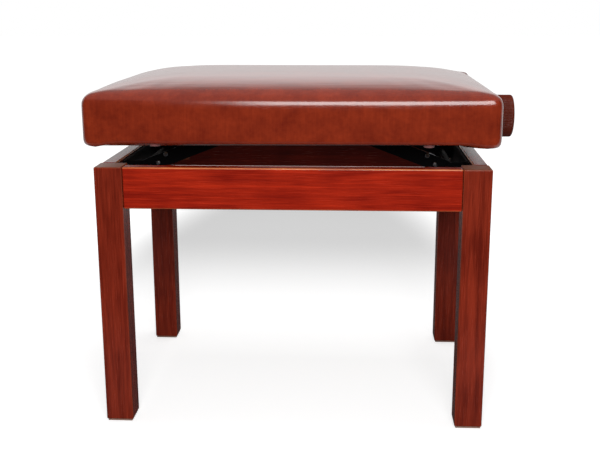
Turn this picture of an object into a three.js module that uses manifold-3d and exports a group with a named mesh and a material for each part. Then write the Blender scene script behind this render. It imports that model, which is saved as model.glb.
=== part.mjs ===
// Height-adjustable piano bench. A four-legged wooden frame carries a padded seat on steel arms.
// A spindle with a left-hand and a right-hand thread lies along the seat. Turning the knob at its
// right end draws the upper ends of the arms together or apart, and the seat sinks or rises, level.
// Millimetres, +Z up, the front of the bench towards -Y and the knob towards +X.
// The origin is on the floor, below the middle of the whole bench with its knob.

import * as THREE from "three";
import { mergeVertices } from "three/addons/utils/BufferGeometryUtils.js";
import Module from "manifold-3d";

const wasm = await Module();
wasm.setup();

// Wooden frame
const frameWidth = 530;
const frameDepth = 375;
const frameTop = 367;
const legSide = 38;
const legChamfer = 1.5;
const footThickness = 2.5;
const footInset = 1.5;
const apronHeight = 57;
const apronThickness = 20;
const apronInset = 1.5;
const apronChamfer = 2;
const braceReach = 30;
const braceHeight = 36;
const braceDrop = 12;

// Clearances
const seamGap = 0.3;
const foamGap = 0.6;
const barGap = 0.6;
const pinPlay = 0.4;
const threadPlay = 0.4;
const overrun = 1;

// Lift arms, links, brackets and pins
const barWidth = 20;
const barThickness = 4;
const pivotRadius = 5;
const rivetRadius = 4;
const headLip = 2.5;
const headHeight = 2.5;
const headChamfer = 0.8;
const plateThickness = 3;
const plateEndGap = 4.2;
const lowerPlateHeight = 50;
const lowerPlateDrop = 3;
const lowerPivotDrop = 18;
const lowerPivotReach = 18;
const upperPivotReach = 18;
const upperPlateHeight = 34;
const upperPlateDrop = 12;
const earRadius = 12;
const earFromEnd = 22.9;

// Spindle, nuts and knob
const spindleRadius = 6;
const spindleRise = 16;
const nutRadius = 12;
const nutLength = 36;
const nutFromMiddle = 49.6;
const nutNeckRadius = 7;
const bushWall = 2;
const bushFlangeWidth = 3;
const bushFlangeThickness = 2;
const collarRadius = 11;
const collarLength = 8;
const knobRadius = 31;
const knobLength = 30;
const knobGap = 11;
const knobNeckRadius = 12;
const knobNeckGap = 2;
const knobEdge = 4;
const knobRibDepth = 0.9;
const knobSocketDepth = 22;
const capRadius = 9;
const capThickness = 2.5;
const capSink = 0.5;

// Seat
const seatWidth = 550;
const seatDepth = 393;
const seatGap = 32.5;
const seatCorner = 12;
const coverThickness = 4;
const coverTopThickness = 3;
const flangeThickness = 2;
const flangeWidth = 21;
const underEdge = 9;
const sideHeight = 50.5;
const shoulderWidth = 24;
const shoulderHeight = 20;
const crownHeight = 15;
const sideDraw = 2.5;
const cornerDrop = 3;
const flangeCorner = 3;
const railThickness = 20;
const boardThickness = 9;
const boardUnderShoulder = 3.9;
const boardInset = 3;
const boreRadius = 9;
const bumperRadius = 7;
const bumperThickness = 5;
const bumperFromEnd = 94;
const bumperInset = 14.5;

// Numbers of facets, and shares
const roundSteps = 16;
const arcSteps = 8;
const cornerSteps = 4;
const longSteps = 6;
const shortSteps = 4;
const crownSteps = 5;
const shoulderSteps = 4;
const edgeSteps = 3;
const knobRibs = 40;
const crownPower = 2.8;
const cornerPower = 30;
const shoulderRoundShare = 0.5;
const nutTaperShare = 0.12;
const mergeShare = 0.001;

// Places that follow from the sizes
const seatBottom = frameTop + seatGap;
const spindleHeight = seatBottom + spindleRise;
const lowerPivotHeight = frameTop - lowerPivotDrop;
const apronInner = apronInset + apronThickness;
const lowerPlateX = frameWidth / 2 - apronInner - seamGap - plateThickness;
const railOuterInset = coverThickness + seamGap;
const railCornerCut = seatCorner - coverThickness;
const upperPlateX = seatWidth / 2 - railOuterInset - railThickness - seamGap - plateThickness;
const pivotX = Math.min(lowerPlateX - lowerPivotReach, upperPlateX - upperPivotReach);
const plateLength = frameDepth - 2 * (legSide + seamGap + braceReach + plateEndGap);
const lowerEarSpread = plateLength / 2 - earFromEnd;
const armSpread = lowerEarSpread - plateThickness / 2 - barGap - barThickness / 2;
const linkSpread = armSpread - barThickness - barGap;
const upperEarSpread = linkSpread - barThickness / 2 - barGap - plateThickness / 2;
const armRise = spindleHeight - lowerPivotHeight;
const armRun = pivotX - nutFromMiddle;
const armLength = Math.hypot(armRun, armRise);
const armAngle = Math.atan2(armRise, armRun);
const crossX = pivotX - armRun / 2;
const crossHeight = lowerPivotHeight + armRise / 2;
const shoulderStart = seatBottom + sideHeight;
const seatTop = shoulderStart + shoulderHeight + crownHeight;
const railBottom = seatBottom + flangeThickness + seamGap;
const boardBottom = shoulderStart - boardUnderShoulder;
const railHeight = boardBottom - seamGap - railBottom;
const foamBottom = boardBottom + boardThickness + seamGap;
const knobStart = seatWidth / 2 + knobGap;
const knobEnd = knobStart + knobLength;

// Finishes, one material for each piece

const finishes = {
  wood: { color: 0x8a2e18, roughness: 0.35, metalness: 0 },
  plainWood: { color: 0xb98d62, roughness: 0.8, metalness: 0 },
  blackSteel: { color: 0x141416, roughness: 0.45, metalness: 0.6 },
  zinc: { color: 0xb9bcc0, roughness: 0.35, metalness: 1 },
  brass: { color: 0xb08d4a, roughness: 0.4, metalness: 1 },
  leather: { color: 0x7c2615, roughness: 0.4, metalness: 0 },
  foam: { color: 0xd9c9a0, roughness: 1, metalness: 0 },
  felt: { color: 0x9a7a6c, roughness: 1, metalness: 0 },
  knob: { color: 0x4b1e16, roughness: 0.35, metalness: 0 },
};

const bench = new THREE.Group();
bench.position.x = -(knobGap + knobLength) / 2;

function addPiece(name, geometry, finish, parent = bench) {
  const mesh = new THREE.Mesh(geometry, new THREE.MeshStandardMaterial(finishes[finish]));
  mesh.name = name;
  parent.add(mesh);
  return mesh;
}

// Joining and cutting

function toSolid(geometry) {
  const bare = geometry.clone();
  bare.deleteAttribute("normal");
  bare.deleteAttribute("uv");
  const merged = mergeVertices(bare, seamGap * mergeShare);
  return new wasm.Manifold(
    new wasm.Mesh({
      numProp: 3,
      vertProperties: new Float32Array(merged.attributes.position.array),
      triVerts: new Uint32Array(merged.index.array),
    }),
  );
}

function toGeometry(solid) {
  const made = solid.getMesh();
  const geometry = new THREE.BufferGeometry();
  geometry.setAttribute("position", new THREE.BufferAttribute(made.vertProperties, made.numProp));
  geometry.setIndex(new THREE.BufferAttribute(made.triVerts, 1));
  const flat = geometry.toNonIndexed();
  flat.computeVertexNormals();
  return flat;
}

function join(...geometries) {
  return toGeometry(geometries.map(toSolid).reduce((whole, next) => whole.add(next)));
}

function cut(geometry, ...tools) {
  return toGeometry(tools.map(toSolid).reduce((whole, tool) => whole.subtract(tool), toSolid(geometry)));
}

// Basic forms

// A block centred on x and y, with its underside at height z.
function block(sizeX, sizeY, sizeZ, x, y, z) {
  return new THREE.BoxGeometry(sizeX, sizeY, sizeZ).translate(x, y, z + sizeZ / 2);
}

// A rod along X or Y, from one end to the other end.
function rod(axis, radius, start, end) {
  const length = end - start;
  const geometry = new THREE.CylinderGeometry(radius, radius, length, roundSteps);
  if (axis === "x") geometry.rotateZ(-Math.PI / 2).translate(start + length / 2, 0, 0);
  else geometry.translate(0, start + length / 2, 0);
  return geometry;
}

// A turned piece along +Y: each step is a radius and a place along the axis.
function turned(steps) {
  const profile = steps.map(([radius, place]) => new THREE.Vector2(radius, place));
  return new THREE.LatheGeometry(profile, roundSteps);
}

// A rectangle centred on the origin with its four corners cut at 45 degrees.
function chamferedRectangle(width, height, chamfer) {
  const shape = new THREE.Shape();
  const x = width / 2;
  const y = height / 2;
  shape.moveTo(-x + chamfer, -y);
  shape.lineTo(x - chamfer, -y);
  shape.lineTo(x, -y + chamfer);
  shape.lineTo(x, y - chamfer);
  shape.lineTo(x - chamfer, y);
  shape.lineTo(-x + chamfer, y);
  shape.lineTo(-x, y - chamfer);
  shape.lineTo(-x, -y + chamfer);
  shape.closePath();
  return shape;
}

// A shape drawn in X and Z, given its thickness along Y, centred on y = 0.
function plateAlongY(shape, thickness) {
  return new THREE.ExtrudeGeometry(shape, {
    depth: thickness,
    bevelEnabled: false,
    curveSegments: arcSteps,
  })
    .rotateX(Math.PI / 2)
    .translate(0, thickness / 2, 0);
}

// The angles of a quarter turn, from 0 to 90 degrees.
function quarterTurn(steps) {
  return Array.from({ length: steps + 1 }, (_, i) => (i / steps / 2) * Math.PI);
}

// A round hole in a shape.
function holeAt(x, y, radius) {
  const hole = new THREE.Path();
  hole.absarc(x, y, radius, 0, 2 * Math.PI, true);
  return hole;
}

// Closed skin over a row of rings with equally many points, with a fan at each end.
function loft(rings) {
  const count = rings[0].length;
  const middle = (ring) =>
    ring.reduce((sum, point) => sum.add(point), new THREE.Vector3()).divideScalar(ring.length);
  const points = [...rings.flat(), middle(rings[0]), middle(rings[rings.length - 1])];
  const firstMiddle = points.length - 2;
  const lastMiddle = points.length - 1;
  const lastRing = (rings.length - 1) * count;
  const faces = [];
  for (let i = 0; i < count; i++) {
    const next = (i + 1) % count;
    faces.push(firstMiddle, next, i);
    faces.push(lastMiddle, lastRing + i, lastRing + next);
    for (let start = 0; start < lastRing; start += count) {
      const above = start + count;
      faces.push(start + i, start + next, above + next);
      faces.push(start + i, above + next, above + i);
    }
  }
  const geometry = new THREE.BufferGeometry().setFromPoints(points);
  geometry.setIndex(faces);
  const flat = geometry.toNonIndexed();
  flat.computeVertexNormals();
  return flat;
}

// Wooden frame: legs, feet, aprons and corner braces

function addLegs() {
  const legBottom = footThickness + seamGap;
  for (const [depthName, ySign] of [["front", -1], ["back", 1]]) {
    for (const [sideName, xSign] of [["left", -1], ["right", 1]]) {
      const x = xSign * (frameWidth / 2 - legSide / 2);
      const y = ySign * (frameDepth / 2 - legSide / 2);
      const leg = new THREE.ExtrudeGeometry(chamferedRectangle(legSide, legSide, legChamfer), {
        depth: frameTop - legBottom - 2 * legChamfer,
        bevelThickness: legChamfer,
        bevelSize: legChamfer,
        bevelOffset: -legChamfer,
        bevelSegments: 1,
      }).translate(x, y, legBottom + legChamfer);
      addPiece(`leg_${depthName}_${sideName}`, leg, "wood");
      const footSide = legSide - 2 * footInset;
      const foot = new THREE.ExtrudeGeometry(chamferedRectangle(footSide, footSide, legChamfer), {
        depth: footThickness,
        bevelEnabled: false,
      }).translate(x, y, 0);
      addPiece(`foot_${depthName}_${sideName}`, foot, "felt");
      addPiece(`corner_brace_${depthName}_${sideName}`, cornerBrace(xSign, ySign), "plainWood");
    }
  }
}

// A block glued and bolted into the corner behind a leg, with its free side at 45 degrees.
function cornerBrace(xSign, ySign) {
  const beside = apronInner + seamGap;
  const behind = legSide + seamGap;
  const corner = ([x, y]) =>
    new THREE.Vector2(xSign * (frameWidth / 2 - x), ySign * (frameDepth / 2 - y));
  const outline = [
    [behind, beside],
    [behind + braceReach, beside],
    [beside, behind + braceReach],
    [beside, behind],
    [behind, behind],
  ].map(corner);
  return new THREE.ExtrudeGeometry(new THREE.Shape(outline), {
    depth: braceHeight,
    bevelEnabled: false,
  }).translate(0, 0, frameTop - braceDrop - braceHeight);
}

function addAprons() {
  const between = legSide + seamGap;
  const section = chamferedRectangle(apronThickness, apronHeight, apronChamfer);
  const middle = frameTop - apronHeight / 2;
  for (const [name, sign] of [["front", -1], ["back", 1]]) {
    const length = frameWidth - 2 * between;
    const apron = new THREE.ExtrudeGeometry(section, { depth: length, bevelEnabled: false })
      .translate(0, 0, -length / 2)
      .rotateX(Math.PI / 2)
      .rotateZ(Math.PI / 2)
      .translate(0, sign * (frameDepth / 2 - apronInset - apronThickness / 2), middle);
    addPiece(`apron_${name}`, apron, "wood");
  }
  for (const [name, sign] of [["left", -1], ["right", 1]]) {
    const length = frameDepth - 2 * between;
    const apron = new THREE.ExtrudeGeometry(section, { depth: length, bevelEnabled: false })
      .translate(0, 0, -length / 2)
      .rotateX(Math.PI / 2)
      .translate(sign * (frameWidth / 2 - apronInset - apronThickness / 2), 0, middle);
    addPiece(`apron_${name}`, apron, "wood");
  }
}

// Lift: brackets, pins, arms and links

// A steel plate with two ears that carry a pivot. The plate stands at x = 0 with the ears towards +X.
function bracket(height, below, reach, earSpread, holeRadius) {
  const plate = block(plateThickness, plateLength, height, plateThickness / 2, 0, -below);
  const ear = new THREE.Shape();
  ear.moveTo(overrun, -earRadius);
  ear.lineTo(reach + plateThickness, -earRadius);
  ear.absarc(reach + plateThickness, 0, earRadius, -Math.PI / 2, Math.PI / 2, false);
  ear.lineTo(overrun, earRadius);
  ear.closePath();
  ear.holes.push(holeAt(reach + plateThickness, 0, holeRadius));
  const ears = [-1, 1].map((sign) => plateAlongY(ear, plateThickness).translate(0, sign * earSpread, 0));
  return join(plate, ...ears);
}

// A flat bar with round ends, from x = 0 to x = length, with a hole at each given place.
function flatBar(length, holes) {
  const shape = new THREE.Shape();
  const half = barWidth / 2;
  shape.absarc(length, 0, half, -Math.PI / 2, Math.PI / 2, false);
  shape.absarc(0, 0, half, Math.PI / 2, (3 * Math.PI) / 2, false);
  shape.closePath();
  for (const [place, radius] of holes) shape.holes.push(holeAt(place, 0, radius));
  return plateAlongY(shape, barThickness);
}

// A pin along Y with a head at each end, whose shank spans from one y to the other y.
function headedPin(radius, start, end) {
  const head = radius + headLip;
  return turned([
    [0, start - headHeight],
    [head - headChamfer, start - headHeight],
    [head, start - headHeight + headChamfer],
    [head, start],
    [radius, start],
    [radius, end],
    [head, end],
    [head, end + headHeight - headChamfer],
    [head - headChamfer, end + headHeight],
    [0, end + headHeight],
  ]);
}

function addLift(sideName, side) {
  const pivotHole = pivotRadius + pinPlay;
  const rivetHole = rivetRadius + pinPlay;
  const turn = side < 0 ? armAngle : Math.PI - armAngle;

  const lower = bracket(
    lowerPlateHeight,
    lowerPlateHeight + lowerPlateDrop - lowerPivotDrop,
    lowerPlateX - pivotX,
    lowerEarSpread,
    pivotHole,
  ).rotateZ(side < 0 ? 0 : Math.PI);
  lower.translate(side * (lowerPlateX + plateThickness), 0, lowerPivotHeight);
  addPiece(`lower_bracket_${sideName}`, lower, "blackSteel");

  const shaftEnd = lowerEarSpread + plateThickness / 2 + seamGap;
  const shaft = headedPin(pivotRadius, -shaftEnd, shaftEnd);
  addPiece(`lower_shaft_${sideName}`, shaft, "blackSteel").position.set(side * pivotX, 0, lowerPivotHeight);

  const bushHole = spindleRadius + threadPlay + bushWall + seamGap;
  const upperReach = upperPlateX - pivotX;
  const upper = cut(
    bracket(upperPlateHeight, upperPlateDrop, upperReach, upperEarSpread, pivotHole),
    rod("x", bushHole, -overrun, plateThickness + overrun),
  ).rotateZ(side < 0 ? 0 : Math.PI);
  upper.translate(side * (upperPlateX + plateThickness), 0, spindleHeight);
  addPiece(`upper_bracket_${sideName}`, upper, "blackSteel");

  for (const [depthName, ySign] of [["front", -1], ["back", 1]]) {
    const suffix = `${sideName}_${depthName}`;
    const arm = flatBar(armLength, [
      [0, pivotHole],
      [armLength / 2, rivetHole],
      [armLength, pivotHole],
    ]).rotateY(-turn);
    addPiece(`arm_${suffix}`, arm, "blackSteel")
      .position.set(side * pivotX, ySign * armSpread, lowerPivotHeight);

    const link = flatBar(armLength / 2, [
      [0, rivetHole],
      [armLength / 2, pivotHole],
    ]).rotateY(turn - Math.PI);
    addPiece(`link_${suffix}`, link, "blackSteel")
      .position.set(side * crossX, ySign * linkSpread, crossHeight);

    const rivetInner = linkSpread - barThickness / 2 - seamGap;
    const rivetOuter = armSpread + barThickness / 2 + seamGap;
    const rivet = headedPin(rivetRadius, rivetInner, rivetOuter).rotateX(ySign < 0 ? Math.PI : 0);
    addPiece(`rivet_${suffix}`, rivet, "blackSteel").position.set(side * crossX, 0, crossHeight);

    const pinInner = upperEarSpread - plateThickness / 2 - seamGap;
    const pinOuter = linkSpread + barThickness / 2 + seamGap;
    const pin = headedPin(pivotRadius, pinInner, pinOuter).rotateX(ySign < 0 ? Math.PI : 0);
    addPiece(`upper_pin_${suffix}`, pin, "zinc").position.set(side * pivotX, 0, spindleHeight);
  }

  addPiece(`cross_nut_${sideName}`, crossNut(), "zinc").position.set(side * nutFromMiddle, 0, spindleHeight);
}

// A turned bar along Y whose journals turn in the arms, with the spindle's thread across its barrel.
function crossNut() {
  const barrel = nutLength / 2;
  const neckEnd = armSpread - barThickness / 2 - barGap;
  const journalEnd = armSpread + barThickness / 2 + seamGap;
  const head = pivotRadius + headLip;
  const half = [
    [nutRadius, barrel],
    [nutNeckRadius, barrel * (1 + nutTaperShare)],
    [nutNeckRadius, neckEnd],
    [pivotRadius, neckEnd],
    [pivotRadius, journalEnd],
    [head, journalEnd],
    [head, journalEnd + headHeight],
    [0, journalEnd + headHeight],
  ];
  const mirrored = half.map(([radius, place]) => [radius, -place]).reverse();
  const hole = rod("x", spindleRadius + threadPlay, -nutRadius - overrun, nutRadius + overrun);
  return cut(turned([...mirrored, ...half]), hole);
}

// Spindle, its bushes and collars, and the knob

function addSpindle() {
  const line = new THREE.Group();
  line.position.z = spindleHeight;
  bench.add(line);

  const socketEnd = knobStart + knobSocketDepth;
  const leftEnd = -(upperPlateX + plateThickness);
  addPiece("spindle", rod("x", spindleRadius, leftEnd, socketEnd - seamGap), "zinc", line);

  for (const [sideName, side] of [["left", -1], ["right", 1]]) {
    const bore = spindleRadius + threadPlay;
    const outer = bore + bushWall;
    const flange = outer + bushFlangeWidth;
    const bush = turned([
      [bore, -bushFlangeThickness - seamGap],
      [flange, -bushFlangeThickness - seamGap],
      [flange, -seamGap],
      [outer, -seamGap],
      [outer, plateThickness],
      [bore, plateThickness],
      [bore, -bushFlangeThickness - seamGap],
    ])
      .rotateZ(-side * Math.PI / 2)
      .translate(side * upperPlateX, 0, 0);
    addPiece(`spindle_bush_${sideName}`, bush, "brass", line);

    const collarBore = spindleRadius + seamGap;
    const collarStart = -bushFlangeThickness - 3 * seamGap - collarLength;
    const collar = turned([
      [collarBore, collarStart],
      [collarRadius, collarStart],
      [collarRadius, collarStart + collarLength],
      [collarBore, collarStart + collarLength],
      [collarBore, collarStart],
    ])
      .rotateZ(-side * Math.PI / 2)
      .translate(side * upperPlateX, 0, 0);
    addPiece(`spindle_collar_${sideName}`, collar, "zinc", line);
  }

  addPiece("knob", knob(), "knob", line);
  const cap = turned([
    [0, 0],
    [capRadius, 0],
    [capRadius, capThickness - capSink],
    [capRadius - capSink, capThickness],
    [0, capThickness],
  ])
    .rotateZ(-Math.PI / 2)
    .translate(knobEnd - capSink - capThickness, 0, 0);
  addPiece("knob_cap", cap, "knob", line);
}

// A ribbed ring across X: its radius steps in by depth at every second point.
function ribbedRing(x, radius, depth) {
  const count = 2 * knobRibs;
  return Array.from({ length: count }, (_, i) => {
    const angle = (2 * Math.PI * i) / count;
    const reach = radius - (i % 2 ? depth : 0);
    return new THREE.Vector3(x, reach * Math.cos(angle), reach * Math.sin(angle));
  });
}

function knob() {
  const neckStart = seatWidth / 2 + knobNeckGap;
  const turns = quarterTurn(edgeSteps);
  const body = loft([
    ribbedRing(neckStart, knobNeckRadius, 0),
    ribbedRing(knobStart, knobNeckRadius, 0),
    ...turns.map((turn) =>
      ribbedRing(
        knobStart + knobEdge * (1 - Math.cos(turn)),
        knobRadius - knobEdge * (1 - Math.sin(turn)),
        knobRibDepth * Math.sin(turn),
      ),
    ),
    ...turns.map((turn) =>
      ribbedRing(
        knobEnd - knobEdge * (1 - Math.sin(turn)),
        knobRadius - knobEdge * (1 - Math.cos(turn)),
        knobRibDepth * Math.cos(turn),
      ),
    ),
  ]);
  const socketEnd = knobStart + knobSocketDepth;
  const socket = rod("x", spindleRadius + seamGap, neckStart - overrun, socketEnd);
  const recessStart = knobEnd - capSink - capThickness - seamGap;
  const recess = rod("x", capRadius + seamGap, recessStart, knobEnd + overrun);
  return cut(body, socket, recess);
}

// Seat: rails, board, foam, cover and bumpers

// A rounded rectangle round the middle of the seat. Its sides are drawn in by draw at their
// middles, and its corners hang lower than its height by drop.
function seatRing(halfX, halfY, corner, height, draw, drop) {
  const outline = [];
  for (let quarter = 0; quarter < 4; quarter++) {
    const xSign = quarter < 2 ? 1 : -1;
    const ySign = quarter === 1 || quarter === 2 ? 1 : -1;
    for (let i = 0; i <= cornerSteps; i++) {
      const angle = (Math.PI / 2) * (quarter - 1 + i / cornerSteps);
      outline.push([
        xSign * (halfX - corner) + corner * Math.cos(angle),
        ySign * (halfY - corner) + corner * Math.sin(angle),
      ]);
    }
    const long = quarter % 2 === 1;
    const steps = long ? longSteps : shortSteps;
    for (let i = 1; i < steps; i++) {
      const share = -xSign * Math.cos((Math.PI * i) / steps);
      const bow = draw * (1 - share ** 2);
      if (long) outline.push([-share * (halfX - corner), ySign * (halfY - bow)]);
      else outline.push([xSign * (halfX - bow), share * (halfY - corner)]);
    }
  }
  const cornerArea = (halfX - corner) * (halfY - corner);
  return outline.map(([x, y]) => {
    const nearCornerShare = Math.min(1, Math.abs(x * y) / cornerArea) ** cornerPower;
    return new THREE.Vector3(x, y, height - drop * nearCornerShare);
  });
}

// A ring at a distance inside the seat's outline.
function insetRing(inset, corner, height, draw, drop) {
  return seatRing(seatWidth / 2 - inset, seatDepth / 2 - inset, corner, height, draw, drop);
}

// The rounded shoulder: rings from the top of the side to the edge of the crown, which lie
// sideOffset inside the cover's outer face at the side and topOffset under it at the crown.
function shoulderRings(sideOffset, topOffset, startTurn) {
  const higher = quarterTurn(shoulderSteps).filter((turn) => turn > startTurn);
  return [startTurn, ...higher].map((turn) => {
    const inset = sideOffset + (shoulderWidth - sideOffset) * (1 - Math.cos(turn));
    const rise = (shoulderHeight - topOffset) * Math.sin(turn);
    const corner = seatCorner - sideOffset + (inset - sideOffset) * shoulderRoundShare;
    return insetRing(inset, corner, shoulderStart + rise, sideDraw * Math.sin(turn), 0);
  });
}

// The crown: rings from the inner edge of the shoulder to near the middle of the top.
function crownRings(topOffset) {
  const corner = seatCorner + shoulderWidth * shoulderRoundShare;
  return Array.from({ length: crownSteps }, (_, i) => {
    const share = 1 - (i + 1) / (crownSteps + 1);
    return seatRing(
      (seatWidth / 2 - shoulderWidth) * share,
      (seatDepth / 2 - shoulderWidth) * share,
      corner * share,
      seatTop - topOffset - crownHeight * share ** crownPower,
      sideDraw * share ** crownPower,
      0,
    );
  });
}

function seatCover() {
  const innerCorner = seatCorner - coverThickness;
  const flangeTop = seatBottom + flangeThickness;
  const turns = quarterTurn(edgeSteps);
  const inside = [
    ...crownRings(coverTopThickness).reverse(),
    ...shoulderRings(coverThickness, coverTopThickness, 0).reverse(),
    insetRing(coverThickness, innerCorner, flangeTop, 0, 0),
    insetRing(flangeWidth, flangeCorner, flangeTop, 0, 0),
  ];
  const outside = [
    insetRing(flangeWidth, flangeCorner, seatBottom, 0, 0),
    ...turns.map((turn) =>
      insetRing(
        underEdge * (1 - Math.sin(turn)),
        seatCorner,
        seatBottom + underEdge * (1 - Math.cos(turn)),
        0,
        cornerDrop * Math.cos(turn),
      ),
    ),
    ...shoulderRings(0, 0, 0),
    ...crownRings(0),
  ];
  const rim = seatWidth / 2;
  const bore = rod("x", boreRadius, rim - coverThickness - overrun, rim + overrun)
    .translate(0, 0, spindleHeight);
  return cut(loft([...inside, ...outside]), bore);
}

function seatFoam() {
  const sideOffset = coverThickness + foamGap;
  const topOffset = coverTopThickness + foamGap;
  const startTurn = Math.asin((foamBottom - shoulderStart) / (shoulderHeight - topOffset));
  return loft([...shoulderRings(sideOffset, topOffset, startTurn), ...crownRings(topOffset)]);
}

// A rail along the front or back of the seat, whose outer corners are cut to clear the cover.
function longRail(ySign) {
  const x = seatWidth / 2 - railOuterInset;
  const outer = seatDepth / 2 - railOuterInset;
  const inner = outer - railThickness;
  const outline = [
    [-x, inner],
    [x, inner],
    [x, outer - railCornerCut],
    [x - railCornerCut, outer],
    [-x + railCornerCut, outer],
    [-x, outer - railCornerCut],
  ].map(([px, py]) => new THREE.Vector2(px, ySign * py));
  return new THREE.ExtrudeGeometry(new THREE.Shape(outline), {
    depth: railHeight,
    bevelEnabled: false,
  }).translate(0, 0, railBottom);
}

function addSeat() {
  for (const [name, sign] of [["front", -1], ["back", 1]]) {
    addPiece(`seat_rail_${name}`, longRail(sign), "plainWood");
    for (const [sideName, xSign] of [["left", -1], ["right", 1]]) {
      const bumper = new THREE.CylinderGeometry(bumperRadius, bumperRadius, bumperThickness, roundSteps)
        .rotateX(Math.PI / 2);
      addPiece(`bumper_${name}_${sideName}`, bumper, "felt").position.set(
        xSign * (seatWidth / 2 - bumperFromEnd),
        sign * (seatDepth / 2 - bumperInset),
        seatBottom - seamGap - bumperThickness / 2,
      );
    }
  }
  const railEnd = railOuterInset + railThickness + seamGap;
  for (const [name, sign] of [["left", -1], ["right", 1]]) {
    const x = sign * (seatWidth / 2 - railOuterInset - railThickness / 2);
    const rail = block(railThickness, seatDepth - 2 * railEnd, railHeight, x, 0, railBottom);
    const bore = rod("x", boreRadius, x - railThickness, x + railThickness)
      .translate(0, 0, spindleHeight);
    addPiece(`seat_rail_${name}`, sign > 0 ? cut(rail, bore) : rail, "plainWood");
  }
  const boardEdge = railOuterInset + boardInset;
  const board = new THREE.ExtrudeGeometry(
    chamferedRectangle(seatWidth - 2 * boardEdge, seatDepth - 2 * boardEdge, railCornerCut),
    { depth: boardThickness, bevelEnabled: false },
  ).translate(0, 0, boardBottom);
  addPiece("seat_board", board, "plainWood");
  addPiece("seat_foam", seatFoam(), "foam");
  addPiece("seat_cover", seatCover(), "leather");
}

addLegs();
addAprons();
addLift("left", -1);
addLift("right", 1);
addSpindle();
addSeat();

export default bench;
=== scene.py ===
"""Looks of a height-adjustable piano bench with a leatherette seat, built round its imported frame."""

import math

import bmesh
import bpy
import numpy as np
from mathutils import Matrix, Vector


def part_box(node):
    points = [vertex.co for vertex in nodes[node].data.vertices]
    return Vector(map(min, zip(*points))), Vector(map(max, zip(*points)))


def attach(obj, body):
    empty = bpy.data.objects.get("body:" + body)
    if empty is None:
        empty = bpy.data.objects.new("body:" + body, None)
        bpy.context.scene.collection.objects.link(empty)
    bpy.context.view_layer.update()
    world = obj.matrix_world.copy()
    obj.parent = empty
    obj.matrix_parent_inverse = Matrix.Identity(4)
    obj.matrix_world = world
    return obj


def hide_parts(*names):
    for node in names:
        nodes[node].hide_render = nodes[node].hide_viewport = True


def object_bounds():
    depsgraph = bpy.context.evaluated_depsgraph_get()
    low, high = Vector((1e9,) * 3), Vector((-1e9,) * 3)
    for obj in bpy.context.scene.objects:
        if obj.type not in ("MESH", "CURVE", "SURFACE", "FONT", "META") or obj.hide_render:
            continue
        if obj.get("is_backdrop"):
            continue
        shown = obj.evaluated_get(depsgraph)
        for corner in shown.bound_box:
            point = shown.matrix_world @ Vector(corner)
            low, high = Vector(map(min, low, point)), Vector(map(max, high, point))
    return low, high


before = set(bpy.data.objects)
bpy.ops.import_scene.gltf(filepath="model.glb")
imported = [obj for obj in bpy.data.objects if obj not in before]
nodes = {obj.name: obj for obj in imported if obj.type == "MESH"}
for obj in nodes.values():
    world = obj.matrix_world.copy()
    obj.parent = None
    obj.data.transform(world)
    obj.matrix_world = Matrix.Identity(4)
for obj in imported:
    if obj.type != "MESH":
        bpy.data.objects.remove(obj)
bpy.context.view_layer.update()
mm = 0.001
scene = bpy.context.scene
scene.view_settings.view_transform = "Standard"


# Camera. It stands 1.2 m in front of the bench, a little to the right of its middle and above the
# seat, and looks down at the frame. The focal length is the photograph's, in pixels of 600 x 449.
photo_width = 600
focal_px = 930.24
camera_yaw, camera_pitch, camera_roll = -0.0580, 0.23696, -0.00322
camera_place = Vector((61.6, -1396.1, 583.7)) * mm

forward = Vector(
    (
        math.sin(camera_yaw) * math.cos(camera_pitch),
        math.cos(camera_yaw) * math.cos(camera_pitch),
        -math.sin(camera_pitch),
    )
)
level_right = Vector((math.cos(camera_yaw), -math.sin(camera_yaw), 0))
level_up = level_right.cross(forward)
right = level_right * math.cos(camera_roll) + level_up * math.sin(camera_roll)
up = level_up * math.cos(camera_roll) - level_right * math.sin(camera_roll)

camera_data = bpy.data.cameras.new("camera")
camera_data.sensor_width = 36
camera_data.lens = focal_px / photo_width * camera_data.sensor_width
camera = bpy.data.objects.new("camera", camera_data)
camera.matrix_world = Matrix.Translation(camera_place) @ Matrix((right, up, -forward)).transposed().to_4x4()
scene.collection.objects.link(camera)
scene.camera = camera


# Floor and room. White paper lies under and behind the bench, a bright wall stands round the back of
# it, and the ceiling is a dimmer white. The paper keeps the bench's soft shadow.
floor_front, floor_back, floor_side = -0.55, 14.0, 14.0
# The paper's own white, and the light that it is seen to add to it near the bench, and the less that
# it adds behind it, a painted shade, with the distances over which that painted shade sets in.
floor_white, lift_near, lift_in_painted_shade = 0.58, 0.68, 0.355
painted_shade_start, painted_shade_end = 0.27, 0.88
# The oval round bench and painted shade, by its scale and place, and where the paper turns white beyond it.
oval_scale, oval_place = (2.4, 0.65, 1), (0.18, -0.05, 0)
oval_start, oval_end = 0.85, 1.3
# What gloss shows of the near and the far paper, and of the wall at its foot and higher up.
near_in_gloss, far_in_gloss = 0.12, 0.74
wall_foot, wall_foot_top, wall_full = 0.74, math.radians(6), math.radians(15)
wall_top, wall_end = math.radians(23), math.radians(41)
ceiling_start, ceiling_end, ceiling_level = math.radians(30), math.radians(60), 0.36
# In front of the bench the room is dark: the share of the way back where it turns bright.
dark_level, dark_until, bright_from = 0.03, -0.1, 0.4
# The even light that the room gives.
room_level = 0.13


def linear(color, alpha=1.0):
    """An sRGB hex colour as linear red, green, blue and alpha."""
    shares = [int(color[i : i + 2], 16) / 255 for i in (1, 3, 5)]
    return (*((s / 12.92 if s <= 0.04045 else ((s + 0.055) / 1.055) ** 2.4) for s in shares), alpha)


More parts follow.
